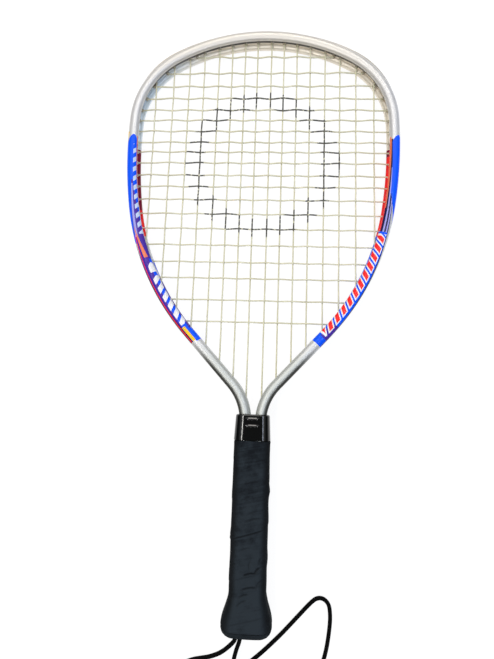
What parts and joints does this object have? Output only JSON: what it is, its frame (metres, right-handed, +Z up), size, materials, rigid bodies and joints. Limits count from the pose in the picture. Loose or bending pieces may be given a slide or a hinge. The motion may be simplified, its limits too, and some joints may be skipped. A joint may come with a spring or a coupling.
{
  "type": "racquetball racket",
  "caption": "Racquetball racket: bent double-barrel hoop frame with woven strings, pale bumper guard, wrapped handle with flared butt and a wrist cord.",
  "frame": {"origin": "middle of the racket's length and width, on the surface that it lies on, without the cord", "axes": "+Y from the butt towards the head tip, +X to the right seen from the front face, +Z up, out of the front face"},
  "size_m": [0.2626, 0.6268, 0.039],
  "materials": {
    "frame": "satin silver lacquer on extruded aluminium",
    "bumper": "translucent beige moulded nylon",
    "grommets": "translucent moulded nylon",
    "strings": "natural nylon multifilament",
    "collar": "glossy black moulded plastic",
    "handle_shells": "moulded rigid foam plastic",
    "butt_cap": "dark moulded rubber",
    "staples": "zinc-plated wire",
    "grip": "matte charcoal suede-like synthetic wrap",
    "cord": "black braided nylon cord"
  },
  "bodies": {
    "root": {"frame": "frame", "bumper_guard": "bumper", "grommet_strip_left": "grommets", "grommet_strip_right": "grommets", "main_string": "strings", "cross_string": "strings", "throat_collar": "collar", "handle_shell_front": "handle_shells", "handle_shell_back": "handle_shells", "butt_cap": "butt_cap", "butt_staple_front": "staples", "butt_staple_back": "staples", "grip_wrap": "grip", "cord_knot": "cord", "wrist_cord": "cord"}
  },
  "joints": []
}
